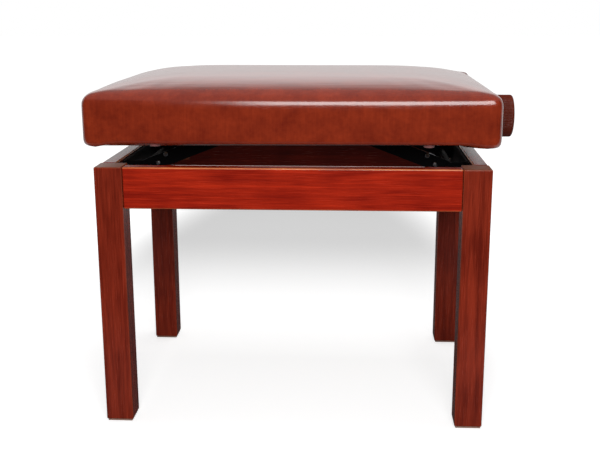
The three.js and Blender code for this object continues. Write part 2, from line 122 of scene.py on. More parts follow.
def add(tree, kind, inputs=None, **settings):
    """Adds a shader node. Each input is given by its name or number, as a value, as a socket to link
    from, or as a node, from whose first output it is linked."""
    made = tree.nodes.new("ShaderNode" + kind)
    for name, value in settings.items():
        setattr(made, name, value)
    for name, value in (inputs or {}).items():
        value = value.outputs[0] if isinstance(value, bpy.types.Node) else value
        if isinstance(value, bpy.types.NodeSocket):
            tree.links.new(value, made.inputs[name])
        else:
            made.inputs[name].default_value = value
    return made


def new_material(name):
    """An empty node material and its tree."""
    material = bpy.data.materials.new(name)
    material.use_nodes = True
    material.node_tree.nodes.clear()
    return material, material.node_tree


def rays(tree):
    """Whether a ray comes straight from the camera, or through glass, and whether it comes by gloss."""
    path = add(tree, "LightPath").outputs
    straight = {0: path["Is Camera Ray"], 1: path["Is Transmission Ray"]}
    return add(tree, "Math", straight, operation="MAXIMUM"), path["Is Glossy Ray"]


def paper_floor():
    """Matt white paper: a diffuse sheet that is seen lighter than it is lit, less so behind the bench,
    where a painted shade darkens it, and far out as white. In gloss the near paper shows only dimly."""
    material, tree = new_material("white_paper")
    direct, glossy = rays(tree)
    place = add(tree, "TexCoord").outputs["Object"]
    oval = add(tree, "Mapping", {"Vector": place, "Location": oval_place, "Scale": oval_scale})
    out = add(tree, "VectorMath", {0: oval}, operation="LENGTH").outputs["Value"]
    far = add(
        tree,
        "MapRange",
        {"Value": out, "From Min": oval_start, "From Max": oval_end},
        interpolation_type="SMOOTHSTEP",
    )
    depth = add(tree, "SeparateXYZ", {0: place}).outputs["Y"]
    graded = add(
        tree,
        "MapRange",
        {
            "Value": depth,
            "From Min": painted_shade_start,
            "From Max": painted_shade_end,
            "To Min": lift_near,
            "To Max": lift_in_painted_shade,
        },
        interpolation_type="SMOOTHSTEP",
    )
    near_lift = add(tree, "MapRange", {"Value": far, "To Min": graded, "To Max": 1.0})
    by_camera = add(tree, "Math", {0: direct, 1: near_lift}, operation="MULTIPLY")
    by_gloss = add(tree, "Math", {0: glossy, 1: far_in_gloss}, operation="MULTIPLY")
    lift = add(tree, "Math", {0: by_gloss, 1: far, 2: by_camera}, operation="MULTIPLY_ADD")
    white = add(tree, "MapRange", {"Value": glossy, "To Min": floor_white, "To Max": near_in_gloss})
    paper = add(tree, "BsdfDiffuse", {"Color": white})
    glow = add(tree, "Emission", {"Color": (1, 1, 1, 1), "Strength": lift})
    both = add(tree, "AddShader", {0: paper, 1: glow})
    add(tree, "OutputMaterial", {"Surface": both})
    return material


floor_mesh = bpy.data.meshes.new("floor")
floor_corners = [
    (-floor_side, floor_front, 0),
    (floor_side, floor_front, 0),
    (floor_side, floor_back, 0),
    (-floor_side, floor_back, 0),
]
floor_mesh.from_pydata(floor_corners, [], [(0, 1, 2, 3)])
floor_mesh.materials.append(paper_floor())
floor = bpy.data.objects.new("floor", floor_mesh)
scene.collection.objects.link(floor)
floor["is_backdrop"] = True

world = bpy.data.worlds.new("room")
world.use_nodes = True
world.node_tree.nodes.clear()
tree = world.node_tree
split = add(tree, "SeparateXYZ", {0: add(tree, "TexCoord").outputs["Generated"]})
# The room's parts, each an eased step from one brightness to another along a way: the wall's foot,
# the wall over it, the ceiling, and the dark in front of the bench.
eased = {}
for part, way, start, end, low, high in (
    ("foot", "Z", math.sin(wall_foot_top), math.sin(wall_full), wall_foot, 1.0),
    ("wall", "Z", math.sin(wall_top), math.sin(wall_end), "foot", ceiling_level),
    ("ceiling", "Z", math.sin(ceiling_start), math.sin(ceiling_end), 0.0, ceiling_level),
    ("back", "Y", dark_until, bright_from, dark_level, 1.0),
):
    eased[part] = add(
        tree,
        "MapRange",
        {
            "Value": split.outputs[way],
            "From Min": start,
            "From Max": end,
            "To Min": eased.get(low, low),
            "To Max": high,
        },
        interpolation_type="SMOOTHSTEP",
    )
round_back = add(tree, "Math", {0: eased["wall"], 1: eased["back"]}, operation="MINIMUM")
shown = add(tree, "Math", {0: round_back, 1: eased["ceiling"]}, operation="MAXIMUM")
direct, glossy = rays(tree)
seen_glossy = add(tree, "Mix", {0: glossy, 2: room_level, 3: shown})
seen_camera = add(tree, "Mix", {0: direct, 2: seen_glossy, 3: 1.0})
room = add(tree, "Background", {"Color": (1, 1, 1, 1), "Strength": seen_camera})
add(tree, "OutputWorld", {"Surface": room})
scene.world = world


# Lamps. A wide low lamp stands just above the camera, in the place of the photographer's flash. A
# larger one, the only one that shows in gloss, stands higher up, and a large one hangs above.
# Each lamp's place, what it is aimed at, its size, its watts, and whether it shows in gloss.
lamps = {
    "front_lamp": ((0.06, -1.4, 0.69), (-0.02, 0, 0.34), (0.6, 0.2), 7, False),
    "high_lamp": ((0.14, -1.4, 1.14), (-0.02, 0.1, 0.2), (0.76, 0.72), 13, True),
    "top_lamp": ((0, 0.3, 2.2), (-0.02, 0, 0.4), (1.2, 1.2), 22, False),
}
for name, (place, aim, size, watts, in_gloss) in lamps.items():
    data = bpy.data.lights.new(name, "AREA")
    data.shape = "RECTANGLE"
    data.size, data.size_y = size
    data.energy = watts
    light = bpy.data.objects.new(name, data)
    light.location = place
    light.rotation_euler = (Vector(aim) - Vector(place)).to_track_quat("-Z", "Y").to_euler()
    light.visible_glossy = in_gloss
    scene.collection.objects.link(light)


# Legs and aprons. They are planed solid wood with eased edges, stained red-brown and sprayed with a
# satin lacquer. The grain runs along each piece, and the legs' tops show end grain, whose tone is
# made paler by a painted reflection.
leg_edge = 1.8 * mm
apron_edge = 2.2 * mm
back_apron_edge, back_apron_drop = 1.2 * mm, 2 * mm
edge_steps = 5
# The lower edges' share of the lighter edge tone, which is partly wear and partly a painted highlight.
lower_edge_wear_and_highlight = 0.4
band_width, band_stretch, band_share = 7 * mm, 0.05, 0.62
fibre_width, fibre_stretch, fibre_share = 1.3 * mm, 0.035, 0.5
cloud_width, cloud_share = 70 * mm, 0.4
grain_dark, grain_light = 0.6, 0.94
lacquer_smooth, lacquer_rough, lacquer_relief = 0.2, 0.32, 0.05 * mm
plank_start, plank_step = (0.037, 0.061, 0), (0.211, -0.107, 0.13)
leg_tones = ("#8a2c18", "#5e1609")
apron_tones = ("#b0280f", "#7c1306")
# Edges are painted a lighter orange: partly wear through the stain, partly a painted highlight, so the
# upper edges get the most.
wear_and_highlight_tone, wear_and_highlight_fully = "#e08a52", 0.6
# The ends' tone: end grain, made paler by a painted reflection of the light on the legs' tops.
end_grain_and_reflection_tone, end_grain_share, end_grain_rough = "#94603f", 0.5, 0.3
# The aprons' inner faces are darkened towards this tone: painted shade under the seat.
inner_shade_tone, inner_shade_share = "#2c0f0a", 0.75


def round_edged_bar(low, high, axis, radius, steps=edge_steps, end_wear_and_highlight=0.0, inner_side=0):
    """Vertices and faces of a bar whose edges are rounded.

    Its section is a rectangle with quarter circles at the corners. It is carried along the axis, and
    at both ends it draws in along another quarter circle, so that the ends are rounded alike. Each
    vertex is marked with how far it lies on an edge, for wear and a painted highlight, on an end, and
    on the side that faces inwards, for painted shade.
    """
    across = [i for i in range(3) if i != axis]
    centre = (np.array(low) + np.array(high)) / 2
    half_size = (np.array(high) - np.array(low)) / 2
    turns = np.linspace(0, math.pi / 2, steps + 1)
    angle = np.concatenate([turns + quarter * math.pi / 2 for quarter in range(4)])
    corner = np.repeat([[1, 1], [-1, 1], [-1, -1], [1, -1]], steps + 1, axis=0)
    outward = np.stack([np.cos(angle), np.sin(angle)], axis=1)
    inner = corner * (half_size[across] - radius)
    reach = np.concatenate([radius * np.sin(turns), radius * np.sin(turns[::-1])])
    drawn_in = radius * (1 - np.cos(turns))
    station = np.concatenate([drawn_in - half_size[axis], half_size[axis] - drawn_in[::-1]])
    rings = inner[None] + reach[:, None, None] * outward[None]
    # Upper edges get more of the lighter tone than lower ones: a painted highlight on top of the wear.
    long_edge = np.sin(2 * np.tile(turns, 4)) * np.where(corner[:, 1] > 0, 1.0, lower_edge_wear_and_highlight)
    end_edge = np.sin(2 * np.concatenate([turns, turns[::-1]]))
    worn_and_highlit = np.maximum(long_edge[None], end_wear_and_highlight * end_edge[:, None])
    end_share = np.concatenate([np.cos(turns), np.cos(turns[::-1])]) ** 4
    points = np.empty((*rings.shape[:2], 3))
    points[..., across] = rings
    points[..., axis] = station[:, None]
    marks = {
        "worn_and_highlit_edge": worn_and_highlit.ravel(),
        "end_grain": np.repeat(end_share, len(angle)),
        "inner_side": np.tile(np.clip(inner_side * outward[:, 0], 0, 1), len(station)),
    }
    return points.reshape(-1, 3) + centre, tube_faces(len(station), len(angle)), marks


def tube_faces(rings, count, closed=True):
    """The quads between rings of equally many points, each ring closed on itself. On a closed tube
    there is a face over each end as well."""
    ring = np.arange(rings - 1)[:, None] * count
    here = np.arange(count)[None]
    following = (here + 1) % count
    over = ring + count
    quads = np.stack([ring + here, ring + following, over + following, over + here], axis=-1)
    faces = [tuple(quad) for quad in quads.reshape(-1, 4).tolist()]
    if closed:
        faces += [tuple(range(count))[::-1], tuple(range(count * (rings - 1), count * rings))]
    return faces


def new_piece(name, points, faces, material, body, replaced=(), flat_sides=False, marks=None):
    """A mesh object from points and faces, riding on its body, with its faces turned outwards."""
    mesh = bpy.data.meshes.new(name)
    mesh.from_pydata(np.asarray(points).tolist(), [], faces)
    mesh.materials.append(material)
    mesh.polygons.foreach_set("use_smooth", np.ones(len(mesh.polygons), bool))
    for mark, values in (marks or {}).items():
        mesh.attributes.new(mark, "FLOAT", "POINT").data.foreach_set("value", values.astype(np.float32))
    turn_outwards(mesh)
    piece = bpy.data.objects.new(name, mesh)
    scene.collection.objects.link(piece)
    if flat_sides:
        piece.modifiers.new("flat_sides", "WEIGHTED_NORMAL").weight = 100
    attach(piece, body)
    if replaced:
        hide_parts(*replaced)
    return piece


def turn_outwards(mesh):
    """Recalculates a closed mesh's normals, so that all its faces point out."""
    work = bmesh.new()
    work.from_mesh(mesh)
    bmesh.ops.remove_doubles(work, verts=work.verts, dist=0.001 * mm)
    bmesh.ops.recalc_face_normals(work, faces=work.faces)
    work.to_mesh(mesh)
    work.free()


def toned_material(name, tones):
    """An empty material, its tree, the object's own coordinates, and the light and the dark tone."""
    material, tree = new_material(name)
    return material, tree, add(tree, "TexCoord").outputs["Object"], *map(linear, tones)


def lacquered_wood(name, axis, tones, seed, wear_and_highlight_share=0.8):
    """Stained beech under satin lacquer. Noise drawn out along the grain gives wavy growth bands, fine
    fibres and slow changes of tone, and the lacquer levels most of the fibres' relief. Each piece is
    cut from another place in the plank, which its seed gives."""
    material, tree, place, light, dark = toned_material(name, tones)
    turned = {0: (0, math.pi / 2, 0), 1: (math.pi / 2, 0, 0), 2: (0, 0, 0)}[axis]
    cut = [start + seed * step for start, step in zip(plank_start, plank_step)]
    along = add(tree, "Mapping", {"Vector": place, "Rotation": turned, "Location": cut})
    bands = add(tree, "Mapping", {"Vector": along, "Scale": (1, 1, band_stretch)})
    band = add(
        tree,
        "TexNoise",
        {"Vector": bands, "Scale": 1 / band_width, "Detail": 2.5, "Roughness": 0.5, "Distortion": 0.7},
    )
    fibres = add(tree, "Mapping", {"Vector": along, "Scale": (1, 1, fibre_stretch)})
    fibre = add(
        tree,
        "TexNoise",
        {"Vector": fibres, "Scale": 1 / fibre_width, "Detail": 3, "Roughness": 0.6},
    )
    cloud = add(tree, "TexNoise", {"Vector": along, "Scale": 1 / cloud_width, "Detail": 2})
    grain = add(tree, "Math", {0: band, 1: band_share}, operation="MULTIPLY")
    for noise, weight in ((fibre, fibre_share), (cloud, cloud_share)):
        grain = add(tree, "Math", {0: noise, 1: weight, 2: grain}, operation="MULTIPLY_ADD")
    share = add(tree, "MapRange", {"Value": grain, "From Min": grain_dark, "From Max": grain_light})
    color = add(tree, "Mix", {0: share, 6: dark, 7: light}, data_type="RGBA").outputs[2]
    # End grain, with a painted reflection in its tone.
    end = add(tree, "Attribute", attribute_name="end_grain").outputs["Fac"]
    end = add(tree, "Math", {0: end, 1: end_grain_share}, operation="MULTIPLY")
    # Painted shade on the aprons' inner faces.
    inside = add(tree, "Attribute", attribute_name="inner_side").outputs["Fac"]
    inside = add(tree, "Math", {0: inside, 1: inner_shade_share}, operation="MULTIPLY")
    # Lighter edges, mottled by the cloud: wear and a painted highlight.
    edge = add(tree, "Attribute", attribute_name="worn_and_highlit_edge").outputs["Fac"]
    edge = add(tree, "Math", {0: edge, 1: cloud}, operation="MULTIPLY")
    edge = add(tree, "MapRange", {"Value": edge, "From Max": wear_and_highlight_fully, "To Max": wear_and_highlight_share})
    for part, tone in ((end, end_grain_and_reflection_tone), (inside, inner_shade_tone), (edge, wear_and_highlight_tone)):
        color = add(tree, "Mix", {0: part, 6: color, 7: linear(tone)}, data_type="RGBA").outputs[2]
    rough = add(tree, "MapRange", {"Value": fibre, "To Min": lacquer_smooth, "To Max": lacquer_rough})
    rough = add(tree, "Math", {0: end, 1: end_grain_rough, 2: rough}, operation="MULTIPLY_ADD")
    bump = add(tree, "Bump", {"Strength": 0.3, "Distance": lacquer_relief, "Height": grain})
    wood = add(
        tree,
        "BsdfPrincipled",
        {"Base Color": color, "Roughness": rough, "Normal": bump, "IOR": 1.5, "Specular IOR Level": 0.4},
    )
    add(tree, "OutputMaterial", {"Surface": wood})
    return material


corners = ("front_left", "front_right", "back_left", "back_right")
for number, corner in enumerate(corners):
    name = f"leg_{corner}"
    points, faces, marks = round_edged_bar(*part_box(name), 2, leg_edge, end_wear_and_highlight=0.6)
    wood = lacquered_wood(f"lacquered_leg_wood_{corner}", 2, leg_tones, number + 1, wear_and_highlight_share=0.12)
    new_piece(f"{name}_wood", points, faces, wood, "frame", [name], True, marks)
for number, (side, axis) in enumerate((("front", 0), ("back", 0), ("left", 1), ("right", 1))):
    name = f"apron_{side}"
    low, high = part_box(name)
    if side == "back":
        low.z -= back_apron_drop
    radius = back_apron_edge if side == "back" else apron_edge
    inwards = 1 if side in ("front", "left") else -1
    points, faces, marks = round_edged_bar(low, high, axis, radius, inner_side=inwards)
    wood = lacquered_wood(f"lacquered_apron_wood_{side}", axis, apron_tones, number + 1)
    new_piece(f"{name}_wood", points, faces, wood, "frame", [name], True, marks)


# Felt. Square pads are glued under the legs, and round ones under the seat's rails stop it softly
# when it is let down onto the frame. Both are punched from pressed grey-pink wool felt.
felt_edge = 0.9 * mm
felt_fibre = 0.7 * mm
felt_tones = ("#a98a7c", "#7d6156")
bumper_tones = ("#8a5a58", "#5e3a3a")
bumper_crush = 1.4 * mm
# The scale of a pattern that isn't drawn out along any axis.
even = (1, 1, 1)


def two_toned(name, tones, cloud, relief, height, looks, contrast=(0, 1), rough=None):
    """A material with a light and a dark tone.

    A pattern, the cloud, mixes the tones over a range of its values. Where a range of roughness is
    given, the cloud sets that too. Another pattern is its relief, whose height is a strength and a
    depth. Each pattern is a kind of texture, how far it is scaled along the axes, and its inputs.
    """
    material, tree, place, light, dark = toned_material(name, tones)
    patterns = []
    for kind, scale, inputs in (cloud, relief):
        scaled = add(tree, "Mapping", {"Vector": place, "Scale": scale})
        patterns.append(add(tree, kind, {"Vector": scaled, **inputs}))
    share = add(tree, "MapRange", {"Value": patterns[0], "From Min": contrast[0], "From Max": contrast[1]})
    color = add(tree, "Mix", {0: share, 6: dark, 7: light}, data_type="RGBA").outputs[2]
    bump = add(tree, "Bump", {"Strength": height[0], "Distance": height[1], "Height": patterns[1]})
    if rough:
        graded = add(tree, "MapRange", {"Value": patterns[0], "To Min": rough[0], "To Max": rough[1]})
        looks = {"Roughness": graded, **looks}
    surface = add(tree, "BsdfPrincipled", {"Base Color": color, "Normal": bump, **looks})
    add(tree, "OutputMaterial", {"Surface": surface})
    return material


def felt(name, tones):
    """Pressed wool felt: short fibres in all directions, with no gloss and a faint sheen."""
    fluff = {"Scale": 1 / felt_fibre, "Detail": 4, "Roughness": 0.7, "Distortion": 1.6}
    pattern = ("TexNoise", even, fluff)
    looks = {"Roughness": 0.95, "Specular IOR Level": 0.15, "Sheen Weight": 0.25}
    return two_toned(name, tones, pattern, pattern, (0.8, 0.25 * mm), looks, contrast=(0.3, 0.7))


def turned_piece(profile, axis, centre, count, rib_depth=None, ribs=0):
    """Vertices and faces of a turned piece.

    The profile is a row of radius and place along the axis. Each of its points runs round the axis in
    a circle. Where a rib depth is given for it, the radius falls by that depth in a cosine wave.
    """
    radius, along = np.array(profile, float).T
    turn = np.linspace(0, math.tau, count, endpoint=False)
    depth = np.zeros(len(radius)) if rib_depth is None else np.array(rib_depth, float)
    reach = radius[:, None] - depth[:, None] * (0.5 - 0.5 * np.cos(ribs * turn))[None]
    first, second = [i for i in range(3) if i != axis]
    points = np.empty((len(radius), count, 3))
    points[..., axis] = along[:, None]
    points[..., first] = reach * np.cos(turn)[None]
    points[..., second] = reach * np.sin(turn)[None]
    return points.reshape(-1, 3) + np.array(centre), tube_faces(len(radius), count, closed=False)


def rounded_corner(radius, along, edge, start, end, steps=4):
    """Profile points of a rounded corner: a quarter circle round the point at radius and along."""
    turn = np.radians(np.linspace(start, end, steps + 1))
    return list(zip(radius + edge * np.cos(turn), along + edge * np.sin(turn)))


pad_felt = felt("pressed_grey_pink_felt", felt_tones)
bumper_felt = felt("pressed_dark_pink_felt", bumper_tones)
for corner in corners:
    points, faces, _ = round_edged_bar(*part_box(f"foot_{corner}"), 2, felt_edge)
    new_piece(f"foot_{corner}_felt", points, faces, pad_felt, "frame", [f"foot_{corner}"], True)
    low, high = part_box(f"bumper_{corner}")
    radius, height = (high.x - low.x) / 2, high.z - low.z
    rim = rounded_corner(radius - felt_edge, bumper_crush + felt_edge, felt_edge, -90, 0)
    profile = [(0, bumper_crush), *rim, (radius, height), (0, height)]
    points, faces = turned_piece(profile, 2, ((low.x + high.x) / 2, (low.y + high.y) / 2, low.z), 40)
    new_piece(f"bumper_{corner}_felt", points, faces, bumper_felt, "seat", [f"bumper_{corner}"])


# Plain wood. The rails of the seat and its board are left raw: sawn and planed pine, pale, with long
# soft grain and no gloss. The braces behind the legs are of the same wood, wiped with the legs' stain.
pine_tones = ("#caa377", "#a87c50")
brace_tones = ("#74402a", "#54291a")
pine_band, pine_stretch = 5 * mm, 0.05


def plain_wood(name, tones, axis):
    """Raw pine: pale early wood and darker late wood in long bands, matt and slightly rough."""
    drawn = [pine_stretch if i == axis else 1 for i in range(3)]
    bands = {"Scale": 1 / pine_band, "Detail": 3, "Roughness": 0.55, "Distortion": 0.5}
    pattern = ("TexNoise", drawn, bands)
    looks = {"Specular IOR Level": 0.25}
    return two_toned(name, tones, pattern, pattern, (0.4, 0.15 * mm), looks, (0.35, 0.65), (0.6, 0.8))


def dress(names, material):
    """Gives CAD nodes a material."""
    for name in names:
        for place in nodes[name].material_slots:
            place.material = material


pine_along_x = plain_wood("raw_pine_along_x", pine_tones, 0)
pine_along_y = plain_wood("raw_pine_along_y", pine_tones, 1)
dress([n for n in nodes if n.startswith("corner_brace")], plain_wood("stained_pine", brace_tones, 0))
dress(["seat_rail_front", "seat_rail_back", "seat_board"], pine_along_x)
dress(["seat_rail_left", "seat_rail_right"], pine_along_y)


# Lift. The brackets, arms and links are cut from steel plate and flat bar, bent, and powder-coated
# black, which leaves a fine orange peel. The pivots and rivets are blackened with them.
coat_peel = 1.6 * mm
coat_dust = 50 / 3 * mm
coat_tones = ("#0c0c0d", "#050506")


def powder_coat(name, tones):
    """Black powder coat: baked thermoset paint, nearly smooth, whose orange peel breaks up its gloss."""
    dust = ("TexNoise", even, {"Scale": 1 / coat_dust, "Detail": 5, "Roughness": 0.6})
    peel = ("TexNoise", even, {"Scale": 1 / coat_peel, "Detail": 2})
    looks = {"Specular IOR Level": 0.06}
    return two_toned(name, tones, dust, peel, (0.35, 0.04 * mm), looks, rough=(0.5, 0.66))


black_coat = powder_coat("black_powder_coat", coat_tones)
black_nodes = ("lower_bracket", "upper_bracket", "arm_", "link_", "lower_shaft", "rivet")
dress([n for n in nodes if n.startswith(black_nodes)], black_coat)


# Pins, nuts and bushes. The upper pins, cross nuts and collars are turned from steel and zinc-plated.
# The bushes that carry the spindle are brass. Both show the fine rings that the lathe leaves.
turning_pitch, turning_stretch = 0.5 * mm, 0.02
dulled_cloud = 50 / 7 * mm
zinc_tones = ("#c3c6ca", "#8f9296")
brass_tones = ("#c29b50", "#8d6c33")


def turned_metal(name, tones, axis):
    """Turned metal: tool marks in close rings along the axis, and clouds where the surface is dulled."""
    drawn = [1 if i == axis else turning_stretch for i in range(3)]
    clouds = ("TexNoise", even, {"Scale": 1 / dulled_cloud, "Detail": 4})
    marks = ("TexNoise", drawn, {"Scale": 1 / turning_pitch, "Detail": 2})
    return two_toned(name, tones, clouds, marks, (0.3, 0.03 * mm), {"Metallic": 1.0}, rough=(0.22, 0.45))


zinc_along_x = turned_metal("zinc_plated_steel_along_x", zinc_tones, 0)
zinc_along_y = turned_metal("zinc_plated_steel_along_y", zinc_tones, 1)
brass_along_x = turned_metal("turned_brass", brass_tones, 0)
dress([n for n in nodes if n.startswith(("upper_pin", "cross_nut"))], zinc_along_y)
dress([n for n in nodes if n.startswith("spindle_collar")], zinc_along_x)
dress([n for n in nodes if n.startswith("spindle_bush")], brass_along_x)


# Spindle. A steel rod lies along the seat, with a left-hand thread on its left half and a right-hand
# thread on its right half, cut where the cross nuts travel. It is zinc-plated.
thread_pitch, thread_depth = 4 * mm, 1.0 * mm
thread_start, thread_end, thread_runout = 22 * mm, 112 * mm, 3 * mm
thread_points, thread_stations_per_turn = 28, 8
groove_width, rod_chamfer = 1.35, 0.8 * mm

low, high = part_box("spindle")
seat_middle_x = (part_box("seat_cover")[0].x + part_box("seat_cover")[1].x) / 2
spindle_radius = (high.z - low.z) / 2
spindle_centre = Vector((seat_middle_x, 0, (low.z + high.z) / 2))


def threaded_rod(first, last, radius, centre):
    """Vertices and faces of the spindle.

    Over the threads the radius falls by a rounded wave of the place along the rod less the turn round
    it times the pitch. The wave runs the other way on the left half, and fades out at its ends.
    """
    step = thread_pitch / thread_stations_per_turn
    threaded = np.arange(thread_start, thread_end + step / 2, step)
    ends = [first, first + rod_chamfer], [last - rod_chamfer, last]
    along = np.concatenate([ends[0], -threaded[::-1], threaded, ends[1]])
    turn = np.linspace(0, math.tau, thread_points, endpoint=False)
    place, angle = np.meshgrid(along, turn, indexing="ij")
    wave = np.abs(place) / thread_pitch - angle / math.tau
    groove = np.clip(groove_width * (0.5 - 0.5 * np.cos(math.tau * wave)), 0, 1)
    reach_in = np.clip((np.abs(place) - thread_start) / thread_runout, 0, 1)
    reach_out = np.clip((thread_end - np.abs(place)) / thread_runout, 0, 1)
    reach = radius - thread_depth * groove * reach_in * reach_out
    reach[[0, -1]] -= rod_chamfer
    points = np.stack([place, reach * np.cos(angle), reach * np.sin(angle)], axis=-1).reshape(-1, 3)
    return points + np.array(centre), tube_faces(len(along), thread_points)


points, faces = threaded_rod(low.x - seat_middle_x, high.x - seat_middle_x, spindle_radius, spindle_centre)
new_piece("spindle_with_threads", points, faces, zinc_along_x, "spindle", ["spindle"])


# Knob. It is moulded from red-brown plastic, with a finely ribbed grip, a rounded rim and a shallow
# dish in its outer face. A cap closes the hole over the screw that holds it on the spindle.
knob_width, knob_edge = 30 * mm, 3.5 * mm
knob_ribs, knob_rib_depth = 84, 1.1 * mm
# How deep the ribs are at each row of the grip, as a share: they fade out over the rounded edges.
rib_shares = (0.35, 0.8, 1, 1, 1, 1, 1, 1, 0.9, 0.5)
neck_radius, neck_fillet = 12 * mm, 1.5 * mm
face_rim, rim_slope, dish = 5 * mm, 2 * mm, 1.2 * mm
boss_rim, boss_slope = 1.5 * mm, 1.5 * mm
knob_play = 0.3 * mm
plastic_cloud, mould_grain = 100 / 9 * mm, 0.5 * mm
knob_tones = ("#66210f", "#4d180b")


def moulded_plastic(name, tones):
    """Moulded ABS: even colour with a slight cloudiness, satin, with a very fine mould texture."""
    clouds = ("TexNoise", even, {"Scale": 1 / plastic_cloud, "Detail": 3})
    fine = ("TexNoise", even, {"Scale": 1 / mould_grain, "Detail": 1})
    looks = {"IOR": 1.53, "Specular IOR Level": 0.16}
    return two_toned(name, tones, clouds, fine, (0.15, 0.02 * mm), looks, rough=(0.22, 0.32))


low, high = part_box("knob")
cap_low, cap_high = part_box("knob_cap")
knob_start = high.x - knob_width
knob_radius = (high.z - low.z) / 2
socket_radius = spindle_radius + knob_play
socket_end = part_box("spindle")[1].x + knob_play
recess_radius = (cap_high.z - cap_low.z) / 2 + knob_play
recess_start = cap_low.x - knob_play
plastic = moulded_plastic("moulded_red_brown_plastic", knob_tones)
profile = [
    (0, socket_end),
    (socket_radius, socket_end),
    (socket_radius, low.x),
    (neck_radius, low.x),
    (neck_radius, knob_start - neck_fillet),
]
profile += rounded_corner(neck_radius + neck_fillet, knob_start - neck_fillet, neck_fillet, 180, 90)
profile += rounded_corner(knob_radius - knob_edge, knob_start + knob_edge, knob_edge, -90, 0, steps=6)
first_rib = len(profile) - 2
profile += [(knob_radius, x) for x in np.linspace(knob_start + knob_edge, high.x - knob_edge, 8)[1:-1]]
profile += rounded_corner(knob_radius - knob_edge, high.x - knob_edge, knob_edge, 0, 90, steps=6)
profile += [
    (knob_radius - face_rim, high.x),
    (knob_radius - face_rim - rim_slope, high.x - dish),
    (recess_radius + boss_rim + boss_slope, high.x - dish),
    (recess_radius + boss_rim, high.x),
    (recess_radius, high.x),
    (recess_radius, recess_start),
    (0, recess_start),
]
rib_depth = np.zeros(len(profile))
rib_depth[first_rib : first_rib + len(rib_shares)] = knob_rib_depth * np.array(rib_shares)
knob_centre = (0, 0, (low.z + high.z) / 2)
points, faces = turned_piece(profile, 0, knob_centre, 4 * knob_ribs, rib_depth, knob_ribs)
new_piece("knob_with_ribs", points, faces, plastic, "spindle", ["knob"])
dress(["knob_cap"], plastic)


# Foam. A block of upholstery foam is glued on the board. It shows nowhere, and gives the seat its
# crown.
foam_cell = 1.5 * mm
foam_in_side, foam_in_top = 4.8 * mm, 5.0 * mm
foam_tones = ("#e0d2ac", "#cdbb8c")


def open_foam(name, tones):
    """Open-cell foam: pale, matt, pitted with small cells."""
    cells = ("TexVoronoi", even, {"Scale": 1 / foam_cell})
    looks = {"Roughness": 0.95, "Specular IOR Level": 0.1}
    return two_toned(name, tones, cells, cells, (0.7, 0.4 * mm), looks)


seat_low, seat_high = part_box("seat_cover")
seat_half = np.array([(seat_high.x - seat_low.x) / 2, (seat_high.y - seat_low.y) / 2])
bumper_height = 3 * mm
seat_bottom = seat_low.z + bumper_height
shoulder_start = seat_bottom + 46.8 * mm
shoulder_width, shoulder_height, shoulder_power = 23 * mm, 20.0 * mm, 3.0
crown_height, crown_power_along, crown_power_across = 18.2 * mm, 6.0, 4.0
seat_corner, corner_growth = 9 * mm, 0.5
side_draw = 1.5 * mm
corner_drop, drop_power = 4.5 * mm, 30
corner_lift, lift_power = 3 * mm, 6
lean = 0.35 * mm
cover_shift = 0.85 * mm
corner_points, long_points, short_points = 10, 40, 30
edge_rings, side_rings, shoulder_rings, crown_rings = 9, 8, 20, 40


def crown(x, y, above):
    """How far the crown lifts the seat's top, x and y out from its middle, times above from 0 to 1.

    Along and across, it falls as one less the share of the way out to a power, and the two are
    multiplied. The corners stand a little higher than that, and the top leans a little to the right.
    """
    along = np.clip(np.abs(x) / seat_half[0], 0, 1)
    across = np.clip(np.abs(y) / seat_half[1], 0, 1)
    bulge = crown_height * (1 - along**crown_power_along) * (1 - across**crown_power_across)
    return above * (bulge + corner_lift * (along * across) ** lift_power - lean * x / seat_half[0])


def seat_rings(inset, height, corner, draw, drop, above):
    """Rings round the seat, as an array of ring, point and coordinate.

    Each ring is a rectangle with round corners, inset from the seat's outline. Between the corners
    its sides are drawn in along a parabola, by draw at their middles. Near the corners it hangs lower
    by drop times a high power of how near they are. The crown lifts it by its share above the side.
    The cover sits a little to the left.
    """
    profile = (inset, height, corner, draw, drop, above)
    inset, height, corner, draw, drop, above = (values[:, None] for values in profile)
    straight = seat_half[None, :] - inset
    parts = []
    for quarter, (x_sign, y_sign) in enumerate(((1, -1), (1, 1), (-1, 1), (-1, -1))):
        turn = (quarter - 1 + np.linspace(0, 1, corner_points + 1)[None]) * math.pi / 2
        parts.append(
            (
                x_sign * (straight[:, :1] - corner) + corner * np.cos(turn),
                y_sign * (straight[:, 1:] - corner) + corner * np.sin(turn),
            )
        )
        along_x = quarter % 2 == 1
        count = long_points if along_x else short_points
        share = -x_sign * np.cos(math.pi * np.arange(1, count) / count)[None]
        bow = draw * (1 - share**2)
        if along_x:
            parts.append((-share * (straight[:, :1] - corner), y_sign * (straight[:, 1:] - bow)))
        else:
            parts.append((x_sign * (straight[:, :1] - bow), share * (straight[:, 1:] - corner)))
    x = np.concatenate([part[0] for part in parts], axis=1)
    y = np.concatenate([part[1] for part in parts], axis=1)
    nearness = np.minimum(1, np.abs(x * y) / ((straight[:, :1] - corner) * (straight[:, 1:] - corner)))
    z = height - drop * nearness**drop_power + crown(x, y, above)
    return np.stack([x + seat_middle_x - cover_shift, y, z], axis=-1)


